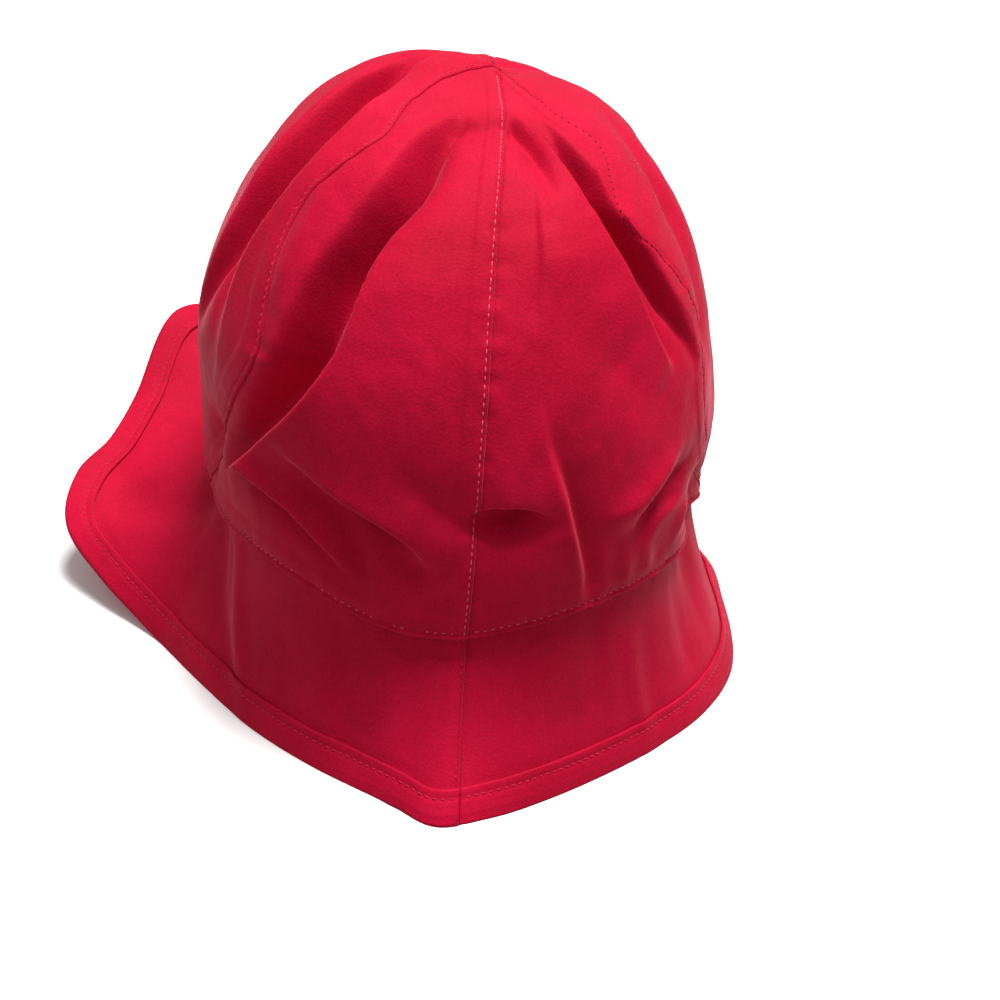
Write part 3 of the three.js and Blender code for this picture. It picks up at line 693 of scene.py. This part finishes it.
def brim_surface(angle, out):
    """The brim's outer face at a share of the way out: points, ways out, normals and its edge's height."""
    corners, outward, height = brim_curve(angle)
    point = along_curve(corners, out[..., None])
    tangent = way_of_curve(corners, out[..., None])
    sideways = np.stack([-outward[..., 1], outward[..., 0], np.zeros_like(angle)], -1)
    normal = unit(np.cross(tangent, sideways))
    relief = np.zeros_like(angle)
    for fold in BRIM_FOLDS:
        middle = fold["at_seam"] + (fold["at_edge"] - fold["at_seam"]) * out**2
        gap = np.mod(angle - middle + 180, 360) - 180
        fade = smoothstep(out, fold["top"] - 0.1, fold["top"] + 0.15)
        fade *= 1 - smoothstep(out, fold["end"] - 0.25, fold["end"] + 0.1)
        relief += fold["lift"] * hump(gap, fold["width"]) * fade
    around = np.radians(angle) * BRIM_ROUND
    waves = 0.5 * soft_noise(around / 16, out * 2, 81) + 0.25 * soft_noise(around / 7, out * 3, 82)
    relief += waves * smoothstep(out, 0, 0.3) * (1 - smoothstep(out, 0.85, 1))
    relief += 0.3 * soft_noise(around / 3.6, out * 4, 83) * hump(out * OUT_AT_SEAM, 7)
    distance = np.radians(np.mod(angle + 180, 360) - 180) * BRIM_ROUND
    allowance = smoothstep(distance, -ALLOWANCE_WIDTH, -5) * (1 - smoothstep(distance, -0.3, 0.3))
    relief += BRIM_ALLOWANCE_RISE * allowance
    relief -= STITCH_DENT * hump(distance + SEAM_STITCH_OFFSET, 0.5)
    relief += 0.4 * hump(distance + 0.6, 0.5) - 0.25 * hump(distance - 0.8, 0.8)
    return point + normal * relief[..., None], tangent, normal, height


# Mesh helpers

def make_object(name, points, faces, material, uvs=None):
    """A mesh object from points in millimetres round the head opening's centre."""
    mesh = bpy.data.meshes.new(name)
    mesh.from_pydata(((np.asarray(points) + HAT_CENTRE) * MILLIMETRE).tolist(), [], faces)
    mesh.materials.append(material)
    if uvs is not None:
        layer = mesh.uv_layers.new(name="cloth")
        loops = np.zeros(len(mesh.loops), int)
        mesh.loops.foreach_get("vertex_index", loops)
        layer.data.foreach_set("uv", np.asarray(uvs)[loops].astype(np.float32).ravel())
    mesh.shade_smooth()
    obj = bpy.data.objects.new(name, mesh)
    bpy.context.scene.collection.objects.link(obj)
    return obj


def grid_faces(rows, columns, start=0, flip=False, wrap=False):
    """Quads of a grid of points, as lists of indices."""
    index = start + np.arange(rows * columns).reshape(rows, columns)
    if wrap:
        index = np.concatenate([index, index[:, :1]], 1)
    quads = np.stack([index[:-1, :-1], index[1:, :-1], index[1:, 1:], index[:-1, 1:]], -1).reshape(-1, 4)
    if flip:
        quads = quads[:, ::-1]
    return quads.tolist()


def wall(outer, inner):
    """Points and faces of a closed wall between two matching grids."""
    rows, columns = outer.shape[:2]
    count = rows * columns
    points = np.concatenate([outer.reshape(-1, 3), inner.reshape(-1, 3)])
    faces = grid_faces(rows, columns) + grid_faces(rows, columns, count, flip=True)
    rim = [(0, j) for j in range(columns)] + [(i, columns - 1) for i in range(1, rows)]
    rim += [(rows - 1, j) for j in range(columns - 2, -1, -1)] + [(i, 0) for i in range(rows - 2, 0, -1)]
    ids = [i * columns + j for i, j in rim]
    for a, b in zip(ids, ids[1:] + ids[:1]):
        faces.append([a, b, b + count, a + count])
    return points, faces


def shares_of(length, first_step, last_step):
    """Shares of a length, fine at both ends, and with a step that goes from one size to another between."""
    ends = np.array(EDGE_STEPS)
    places = [ends[-1]]
    while places[-1] < length - ends[-1]:
        places.append(places[-1] + first_step + (last_step - first_step) * places[-1] / length)
    middle = ends[-1] + (np.array(places) - ends[-1]) * (length - 2 * ends[-1]) / (places[-1] - ends[-1])
    return np.concatenate([ends[:-1], middle, length - ends[:-1][::-1]]) / length


def grid_normals(grid):
    """Outward directions of a grid of points whose rows run down and columns to the right."""
    down, along = np.gradient(grid, axis=0), np.gradient(grid, axis=1)
    return unit(np.cross(down, along))


def eased(grid):
    """A grid of points with its sharpest corners eased, and its borders only along themselves."""
    for _ in range(EASE_TIMES):
        grid = grid.copy()
        grid[:, 1:-1] = (grid[:, :-2] + 2 * grid[:, 1:-1] + grid[:, 2:]) / 4
        grid[1:-1] = (grid[:-2] + 2 * grid[1:-1] + grid[2:]) / 4
    return grid


def rolled_in(distance):
    """How far cloth has turned in at this distance from a folded edge."""
    inside = np.clip(ROLL - distance, 0, ROLL)
    return ROLL - np.sqrt(ROLL**2 - inside**2)


def sew_piece(node, outer, inner, uvs, cloth, flip=False):
    """A closed cloth wall between two grids of points, in place of one of the hat's solids."""
    points, faces = wall(outer, inner)
    if flip:
        faces = [face[::-1] for face in faces]
    uvs = uvs.reshape(-1, 2) * MILLIMETRE
    piece = make_object(node + "_cloth", points, faces, cloth, np.concatenate([uvs, uvs]))
    return dress(piece, node)


def strip_uvs(ring, across):
    """Places on the flat cloth of a strip that goes round the hat."""
    return np.stack(np.meshgrid(np.radians(ring) * BRIM_ROUND, across, indexing="ij"), -1)


def dress(obj, node):
    """Puts a piece on the hat's body in place of its solid."""
    if node:
        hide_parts(node)
    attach(obj, "root")
    return obj


# Stitches

def stitch_shape():
    """A short thread that dives into the cloth at both ends, along X, one unit long."""
    sides, rings = 6, 7
    points = []
    for i in range(rings):
        x = -0.5 + i / (rings - 1)
        height = 1.3 * math.cos(math.pi * x) - 0.75
        girth = 0.55 + 0.45 * math.cos(math.pi * x)
        for j in range(sides):
            turn = 2 * math.pi * j / sides
            points.append((x, girth * math.cos(turn), height + girth * math.sin(turn)))
    faces = grid_faces(rings, sides, wrap=True, flip=True)
    faces.append(list(range(sides)))
    faces.append([(rings - 1) * sides + j for j in range(sides)][::-1])
    return np.array(points), faces


def stitch_row(name, line, normals, material, length=STITCH_LENGTH, seed=0):
    """One row of stitches along a line of points, as one mesh."""
    steps = np.linalg.norm(np.diff(line, axis=0), axis=1)
    along = np.concatenate([[0], np.cumsum(steps)])
    rng = np.random.default_rng(seed)
    count = int(along[-1] / STITCH_PITCH)
    centres = (np.arange(count) + 0.5) * along[-1] / count
    lengths = length * rng.uniform(0.8, 1.1, count)

    def at(s):
        return np.stack([np.interp(s, along, line[:, k]) for k in range(3)], -1)

    def facing(s):
        return unit(np.stack([np.interp(s, along, normals[:, k]) for k in range(3)], -1))

    shape, faces = stitch_shape()
    points, all_faces = [], []
    for k, (s, length) in enumerate(zip(centres, lengths)):
        start, end, up = at(s - length / 2), at(s + length / 2), facing(s)
        way = end - start
        side = unit(np.cross(up, way))
        lifted = unit(np.cross(way, side))
        skew = side * rng.uniform(-0.12, 0.12)
        middle = (start + end) / 2 + lifted * 0.02
        points.append(middle + shape[:, :1] * (way + skew)
                      + shape[:, 1:2] * side * THREAD_RADIUS + shape[:, 2:] * lifted * THREAD_RADIUS)
        all_faces += [[v + k * len(shape) for v in face] for face in faces]
    obj = make_object(name, np.concatenate(points), all_faces, material)
    return dress(obj, None)


# Materials

def new_material(name, settings):
    """A material whose shader has these settings, its node tree and its shader."""
    material = bpy.data.materials.new(name)
    material.use_nodes = True
    shader = material.node_tree.nodes["Principled BSDF"]
    for socket, value in settings.items():
        shader.inputs[socket].default_value = value
    return material, material.node_tree, shader


def node(tree, kind, **inputs):
    """A shader node with these values on its inputs."""
    made = tree.nodes.new(kind)
    for socket, value in inputs.items():
        made.inputs[socket].default_value = value
    return made


def math_node(tree, operation, *values):
    """A sum, product or the like of links and numbers."""
    made = tree.nodes.new("ShaderNodeMath")
    made.operation = operation
    for socket, value in zip(made.inputs, values):
        if isinstance(value, (int, float)):
            socket.default_value = value
        else:
            tree.links.new(value, socket)
    return made.outputs[0]


def colour_shader(tree, shader, amount, low, dark, high, light):
    """Colours a shader from dark to light as an amount goes from low to high."""
    ramp = tree.nodes.new("ShaderNodeValToRGB")
    for stop, position, colour in zip(ramp.color_ramp.elements, (low, high), (dark, light)):
        stop.position = position
        stop.color = (*colour, 1)
    tree.links.new(amount, ramp.inputs[0])
    tree.links.new(ramp.outputs[0], shader.inputs["Base Color"])


def roughen_shader(tree, shader, height, strength, depth):
    """Gives a shader fine relief."""
    bump = node(tree, "ShaderNodeBump", Strength=strength, Distance=depth)
    tree.links.new(height, bump.inputs["Height"])
    tree.links.new(bump.outputs[0], shader.inputs["Normal"])


def twill_material(name, light, dark, weave_pitch):
    """Red cotton twill: fine diagonal ribs with painted shade in their hollows, fibre specks, faded patches
    and a soft sheen.
    """
    material, tree, shader = new_material(name, {
        "Roughness": 0.7,
        "Specular IOR Level": 0.08,
        "Sheen Weight": 0.2,
        "Sheen Roughness": 0.28,
        "Sheen Tint": (1.0, 0.36, 0.45, 1),
    })

    def scaled(value, factor):
        return math_node(tree, "MULTIPLY", value, factor)

    def total(a, b):
        return math_node(tree, "ADD", a, b)

    on_cloth = tree.nodes.new("ShaderNodeUVMap")
    on_cloth.uv_map = "cloth"
    split = tree.nodes.new("ShaderNodeSeparateXYZ")
    tree.links.new(on_cloth.outputs[0], split.inputs[0])
    u, v = split.outputs[0], split.outputs[1]
    turns = 2 * math.pi / weave_pitch
    rib = math_node(tree, "SINE", scaled(total(u, v), turns * 0.7))
    thread = math_node(tree, "SINE", scaled(math_node(tree, "SUBTRACT", u, v), turns * 1.4))
    weave = total(scaled(rib, 0.7), scaled(thread, 0.3))
    on_hat = tree.nodes.new("ShaderNodeTexCoord")
    fibres = node(tree, "ShaderNodeTexNoise", Scale=1150.0, Detail=3.0, Roughness=0.65)
    patches = node(tree, "ShaderNodeTexNoise", Scale=32.0, Detail=3.0, Roughness=0.55)
    for texture in (fibres, patches):
        tree.links.new(on_hat.outputs["Object"], texture.inputs["Vector"])
    # The weave's small share of the tone is painted shade: the colour is darker where the ribs' relief is
    # low.
    tone = total(scaled(patches.outputs[0], 0.75), scaled(weave, 0.015))
    tone = total(tone, scaled(fibres.outputs[0], 0.85))
    colour_shader(tree, shader, tone, 0.55, dark, 1.0, light)
    roughen_shader(tree, shader, total(scaled(weave, 0.04), fibres.outputs[0]), 0.8, 0.0002)
    return material


def thread_material(name, colour):
    """Twisted sewing thread, a little lighter than the cloth."""
    material, tree, shader = new_material(name, {
        "Roughness": 0.55,
        "Sheen Weight": 0.05,
        "Specular IOR Level": 0.1,
    })
    on_hat = tree.nodes.new("ShaderNodeTexCoord")
    strands = node(tree, "ShaderNodeTexNoise", Scale=1500.0, Detail=2.0)
    tree.links.new(on_hat.outputs["Object"], strands.inputs["Vector"])
    colour_shader(tree, shader, strands.outputs[0], 0.3, [c * 0.7 for c in colour], 0.7, colour)
    roughen_shader(tree, shader, strands.outputs[0], 0.6, 0.0001)
    return material


def material_for(kind, colours):
    """The material of a kind of cloth or thread, made once."""
    known = bpy.data.materials.get(kind)
    if known:
        return known
    if kind.endswith("_thread"):
        return thread_material(kind, tuple(getattr(colours, kind)))
    return twill_material(kind, tuple(colours.cloth_light), tuple(colours.cloth_dark), colours.weave_pitch)


# The camera

def camera_axes():
    """The camera's right, up and backward directions, and its place."""
    a, e, r = (math.radians(x) for x in (CAMERA_AZIMUTH, CAMERA_ELEVATION, CAMERA_ROLL))
    back = Vector((math.sin(a) * math.cos(e), -math.cos(a) * math.cos(e), math.sin(e)))
    level = Vector((math.cos(a), math.sin(a), 0))
    upright = back.cross(level)
    right = level * math.cos(r) + upright * math.sin(r)
    up = -level * math.sin(r) + upright * math.cos(r)
    half = PICTURE_SIZE / 2
    target = Vector(HAT_CENTRE) + Vector((0, 0, SEAM_HEIGHT))
    aim = (target - right * (HEAD_OPENING_IN_PICTURE[0] - half) * PICTURE_SCALE
           + up * (HEAD_OPENING_IN_PICTURE[1] - half) * PICTURE_SCALE)
    return right, up, back, (aim + back * CAMERA_DISTANCE) * MILLIMETRE


# Settings

class HatSizes(bpy.types.PropertyGroup):
    """Sizes of the hat's cloth and binding."""

    crown_cloth: FloatProperty(
        name="Crown cloth", description="Thickness of a crown panel", default=0.0012, unit="LENGTH")
    brim_cloth: FloatProperty(
        name="Brim cloth", description="Thickness of the doubled brim", default=0.0016, unit="LENGTH")
    binding_width: FloatProperty(
        name="Binding width", description="Width of the strip round the brim's edge",
        default=0.0095, unit="LENGTH")
    binding_cloth: FloatProperty(
        name="Binding cloth", description="Thickness of the folded strip", default=0.0007, unit="LENGTH")


class HatColours(bpy.types.PropertyGroup):
    """Colours of the cloth and thread."""

    cloth_light: FloatVectorProperty(
        name="Cloth, light", description="The cloth where it is faded",
        default=(0.46, 0.0018, 0.029), subtype="COLOR", size=3)
    cloth_dark: FloatVectorProperty(
        name="Cloth, dark", description="The cloth where it is deepest red",
        default=(0.32, 0.0007, 0.015), subtype="COLOR", size=3)
    light_thread: FloatVectorProperty(
        # The same thread painted lighter, as a painted highlight on stitches that lie on top of the cloth.
        name="Thread, light", description="The thread where it lies on the cloth",
        default=(0.75, 0.08, 0.14), subtype="COLOR", size=3)
    plain_thread: FloatVectorProperty(
        name="Thread, plain", description="The thread where it matches the cloth",
        default=(0.5, 0.02, 0.05), subtype="COLOR", size=3)
    # The same thread painted darker, as painted shade on stitches that sink into the cloth.
    deep_thread: FloatVectorProperty(
        name="Thread, deep", description="The thread where it is sunk in the cloth",
        default=(0.16, 0.0015, 0.01), subtype="COLOR", size=3)
    weave_pitch: FloatProperty(
        name="Weave pitch", description="From one rib of the twill to the next",
        default=0.0006, unit="LENGTH")


class HatStage(bpy.types.PropertyGroup):
    """The floor and the light."""

    floor_colour: FloatVectorProperty(
        name="Floor", description="The pale floor's colour", default=(0.9, 0.9, 0.9), subtype="COLOR", size=3)
    key_light: FloatProperty(
        name="Key light", description="Strength of the large light overhead", default=122.0, unit="POWER")
    world_light: FloatProperty(
        name="Room light", description="Strength of the light from all round", default=0.5)


# The hat's steps

# The crown's panels: the seams on their left and right, their width, the grid steps across them at the left
# and at the right and the step down them, and the angle of the line that their cloth is laid out from.
PANELS = table(
    "node from to width first last down middle",
    ("crown_panel_back_left", "left", "back", 112, 0.85, 0.85, ROW_STEP, 0),
    ("crown_panel_back_right", "back", "right", 112, 0.85, 0.85, ROW_STEP, 0),
    ("crown_panel_front_left", "front_again", "left", 205, 2.6, 0.8, FRONT_ROW_STEP, -180),
    ("crown_panel_front_right", "right", "front", 205, 1.2, 2.6, FRONT_ROW_STEP, 180),
)


class SewCrown(bpy.types.Operator):
    """Makes the four crown panels, slumped and sewn."""

    bl_idname = "sunhat.sew_crown"
    bl_label = "Sew the crown"

    def execute(self, context):
        sizes, colours = context.scene.hat_sizes, context.scene.hat_colours
        cloth = material_for("crown_twill", colours)
        thickness = sizes.crown_cloth / MILLIMETRE
        for panel in PANELS:
            across = shares_of(panel["width"], panel["first"], panel["last"])
            rows = shares_of(PANEL_LENGTH, panel["down"], panel["down"])
            down = np.repeat((TIP_DOWN + (1 - TIP_DOWN) * rows)[:, None], len(across), 1)
            start, end = seam_angle(panel["from"], down), seam_angle(panel["to"], down)
            inset = np.degrees(SEAM_GAP / radius_of(start, down))
            angle = start + inset + (end - start - 2 * inset) * across[None, :]
            outer = crown_surface(angle, down, ease=True)
            normal = normals_of(smooth_crown, angle, down)
            under = np.maximum(seam_distance(panel["from"], angle, down), 0)
            over = np.maximum(-seam_distance(panel["to"], angle, down), 0)
            hem = (1 - down) * PANEL_LENGTH
            sunk = SEAM_SINK * np.exp(-under / SEAM_SINK_WIDTH)
            outer -= normal * (rolled_in(over) + rolled_in(hem) + sunk)[..., None]
            facing = unit(normal + grid_normals(outer))
            thinned = thickness * (1 - HEM_THINNER * (1 - smoothstep(hem, 1, 5)))
            uvs = np.stack([np.radians(angle - panel["middle"]) * radius_of(angle, down), hem], -1)
            inner = outer - facing * thinned[..., None]
            sew_piece(panel["node"], outer, inner, uvs, cloth)
        return {"FINISHED"}


class CutBrim(bpy.types.Operator):
    """Makes the doubled brim with its soft upright folds and back seam."""

    bl_idname = "sunhat.cut_brim"
    bl_label = "Cut the brim"

    def execute(self, context):
        sizes, colours = context.scene.hat_sizes, context.scene.hat_colours
        cloth = material_for("brim_twill", colours)
        thickness = sizes.brim_cloth / MILLIMETRE
        shares = np.linspace(0, 1, BRIM_ROWS)
        ring = np.concatenate([SEAM_TURNS, np.linspace(1, 359, BRIM_RING), 360 - SEAM_TURNS[::-1]])
        angle, out = np.meshgrid(ring, shares, indexing="ij")
        point, _, normal, _ = brim_surface(angle, out)
        back = np.radians(np.minimum(angle, 360 - angle)) * BRIM_ROUND
        bound = out_from_edge(ring, sizes.binding_width / MILLIMETRE + 0.5)[:, None]
        groove = GROOVE_DEPTH * hump((out - bound) * OUT_AT_EDGE, GROOVE_WIDTH)
        point = point - normal * (rolled_in(back) + groove)[..., None]
        top = point[:, :1] + np.array([0, 0, BRIM_TUCK])
        outer = np.concatenate([top, point], 1)
        inner = np.concatenate([top - normal[:, :1] * thickness, point - normal * thickness], 1)
        floor = (sizes.binding_cloth / MILLIMETRE) * 0.9
        inner[..., 2] = np.maximum(inner[..., 2], floor)
        outer[..., 2] = np.maximum(outer[..., 2], floor)
        uvs = strip_uvs(ring, np.concatenate([[-BRIM_TUCK], shares * BRIM_LENGTH]))
        sew_piece("brim", outer, inner, uvs, cloth, flip=True)
        return {"FINISHED"}


class BindEdge(bpy.types.Operator):
    """Makes the strip that is folded over the brim's edge."""

    bl_idname = "sunhat.bind_edge"
    bl_label = "Bind the edge"

    def execute(self, context):
        sizes, colours = context.scene.hat_sizes, context.scene.hat_colours
        cloth = material_for("binding_twill", colours)
        width = sizes.binding_width / MILLIMETRE
        brim_thickness = sizes.brim_cloth / MILLIMETRE
        thickness = sizes.binding_cloth / MILLIMETRE
        ring = np.linspace(0.04, 359.96, BRIM_RING + 60)
        face = np.concatenate([FACE_STEPS, np.linspace(1.8, width, 12)])
        sunk = BINDING_DENT * hump(face - BINDING_STITCH_OFFSET, BINDING_DENT_WIDTH)
        clears = BINDING_CLEARANCE + thickness - rolled_in(face) - sunk
        layers = [(out_from_edge(ring, width - d), clear) for d, clear in zip(face, clears)]
        point_rows = []
        for out, clear in layers:
            p, _, n, _ = brim_surface(ring, out)
            point_rows.append(p + n * clear)
        p, tangent, n, height = brim_surface(ring, np.ones_like(ring))
        half = brim_thickness / 2 + BINDING_CLEARANCE + thickness
        centre = p - n * brim_thickness / 2
        for turn in np.linspace(0, math.pi, EDGE_TURNS)[1:-1]:
            ahead = tangent * half * EDGE_FLATNESS * math.sin(turn)
            point_rows.append(centre + n * half * math.cos(turn) + ahead)
        for out, clear in layers[::-1]:
            p, _, n, _ = brim_surface(ring, out)
            point_rows.append(p - n * (brim_thickness + clear))
        outer = np.stack(point_rows, 1)
        pucker = soft_noise(np.radians(ring) * BRIM_ROUND / 3.0, ring * 0, 91)
        fading = np.linspace(1, 0, outer.shape[1])[None, :, None] ** 2
        outer += (n * (BINDING_PUCKER * pucker)[:, None])[:, None, :] * fading
        press = BINDING_PRESS * (1 - smoothstep(height, 0, PRESS_FADES_AT))
        edge_rows = slice(len(face) - 2, len(face) + EDGE_TURNS)
        outer[:, edge_rows, 2] -= press[:, None]
        outer[..., 2] = np.maximum(outer[..., 2], 0.0)
        centre_line = outer.mean(1, keepdims=True)
        inner = outer + unit(centre_line - outer) * BINDING_WALL
        uvs = strip_uvs(ring, np.linspace(0, 2 * width + 4, outer.shape[1]))
        sew_piece("brim_binding", outer, inner, uvs, cloth, flip=True)
        return {"FINISHED"}


class SewStitches(bpy.types.Operator):
    """Sews the rows of stitches along the seams and the binding."""

    bl_idname = "sunhat.sew_stitches"
    bl_label = "Sew the stitches"

    def execute(self, context):
        colours, sizes = context.scene.hat_colours, context.scene.hat_sizes
        down = np.linspace(0.03, 0.995, 420)
        for seed, row in enumerate(CROWN_STITCHES):
            name = row["seam"]
            radius = radius_of(seam_angle(name, down), down)
            angle = seam_angle(name, down) - np.degrees(SEAM_STITCH_OFFSET / radius)
            normal = normals_of(smooth_crown, angle, down)
            thread = material_for(row["thread"], colours)
            stitch_row("crown_stitches_" + name, crown_surface(angle, down), normal, thread,
                       row["length"], 100 + seed)
        # The light thread is the thread with a painted highlight. It goes on the brim seam's stitches and on
        # the binding's stitches underneath.
        light, plain = (material_for(kind + "_thread", colours) for kind in ("light", "plain"))
        angle = np.linspace(0.8, 359.2, 1500)
        level = np.full_like(angle, 1 - HEM_STITCH_OFFSET / PANEL_LENGTH)
        normal = normals_of(smooth_crown, angle, level)
        stitch_row("brim_seam_stitches", crown_surface(angle, level), normal, light,
                   SHORT_LENGTH, 110)
        out = np.linspace(0.02, 0.83, 160)
        back = np.full_like(out, -np.degrees(SEAM_STITCH_OFFSET / BRIM_ROUND))
        point, _, normal, _ = brim_surface(back, out)
        stitch_row("brim_back_stitches", point, normal, plain, PULLED_LENGTH, 111)
        width = sizes.binding_width / MILLIMETRE
        clear = sizes.binding_cloth / MILLIMETRE - 0.1
        point, _, normal, _ = brim_surface(angle, out_from_edge(angle, width - BINDING_STITCH_OFFSET))
        stitch_row("binding_stitches", point + normal * clear, normal, plain,
                   SHORT_LENGTH, 112)
        under = point - normal * (clear + sizes.brim_cloth / MILLIMETRE)
        stitch_row("binding_stitches_under", under, -normal, light, seed=113)
        return {"FINISHED"}


class SetStage(bpy.types.Operator):
    """Makes the floor, the light and the camera."""

    bl_idname = "sunhat.set_stage"
    bl_label = "Set the stage"

    def execute(self, context):
        settings = context.scene.hat_stage
        pale, _, _ = new_material("pale_floor", {
            "Base Color": (*settings.floor_colour, 1),
            "Roughness": 0.9,
            "Specular IOR Level": 0.1,
        })
        corners = [(x * FLOOR_REACH, y * FLOOR_REACH, 0) for x, y in ((-1, -1), (1, -1), (1, 1), (-1, 1))]
        mesh = bpy.data.meshes.new("floor")
        mesh.from_pydata(corners, [], [(0, 1, 2, 3)])
        mesh.materials.append(pale)
        floor = bpy.data.objects.new("floor", mesh)
        context.scene.collection.objects.link(floor)
        floor.visible_diffuse = False
        light = bpy.data.lights.new("key_light", "AREA")
        light.energy = settings.key_light
        light.size = LAMP_SIZE
        lamp = bpy.data.objects.new("key_light", light)
        lamp.location = LAMP_AIM + LAMP_WAY.normalized() * LAMP_DISTANCE
        lamp.rotation_euler = (LAMP_AIM - lamp.location).to_track_quat("-Z", "Y").to_euler()
        context.scene.collection.objects.link(lamp)
        world = bpy.data.worlds.new("room")
        world.use_nodes = True
        background = world.node_tree.nodes["Background"]
        background.inputs["Color"].default_value = (1, 1, 1, 1)
        background.inputs["Strength"].default_value = settings.world_light
        context.scene.world = world
        context.scene.view_settings.view_transform = "Standard"
        camera = bpy.data.cameras.new("camera")
        camera.sensor_width = SENSOR_WIDTH
        camera.lens = SENSOR_WIDTH * CAMERA_DISTANCE / (PICTURE_SCALE * PICTURE_SIZE)
        viewer = bpy.data.objects.new("camera", camera)
        right, up, back, place = camera_axes()
        turn = Matrix((right, up, back)).transposed()
        viewer.matrix_world = Matrix.Translation(place) @ turn.to_4x4()
        context.scene.collection.objects.link(viewer)
        context.scene.camera = viewer
        return {"FINISHED"}


class HatPanel(bpy.types.Panel):
    """Lists the hat's steps and sizes."""

    bl_idname = "VIEW3D_PT_sunhat"
    bl_label = "Sun hat"
    bl_space_type = "VIEW_3D"
    bl_region_type = "UI"
    bl_category = "Sun hat"

    def draw(self, context):
        for group in (context.scene.hat_sizes, context.scene.hat_colours, context.scene.hat_stage):
            box = self.layout.box()
            for key in group.__annotations__:
                box.prop(group, key)
        for step in STEPS:
            self.layout.operator(step.bl_idname)


GROUPS = (("hat_sizes", HatSizes), ("hat_colours", HatColours), ("hat_stage", HatStage))
STEPS = (SewCrown, CutBrim, BindEdge, SewStitches, SetStage)


def register():
    for name, group in GROUPS:
        bpy.utils.register_class(group)
        setattr(bpy.types.Scene, name, PointerProperty(type=group))
    for step in (*STEPS, HatPanel):
        bpy.utils.register_class(step)


def unregister():
    for step in (HatPanel, *reversed(STEPS)):
        bpy.utils.unregister_class(step)
    for name, group in reversed(GROUPS):
        delattr(bpy.types.Scene, name)
        bpy.utils.unregister_class(group)


def main():
    register()
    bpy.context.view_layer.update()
    bpy.ops.sunhat.sew_crown()
    bpy.ops.sunhat.cut_brim()
    bpy.ops.sunhat.bind_edge()
    bpy.ops.sunhat.sew_stitches()
    bpy.ops.sunhat.set_stage()


if __name__ == "__main__":
    main()
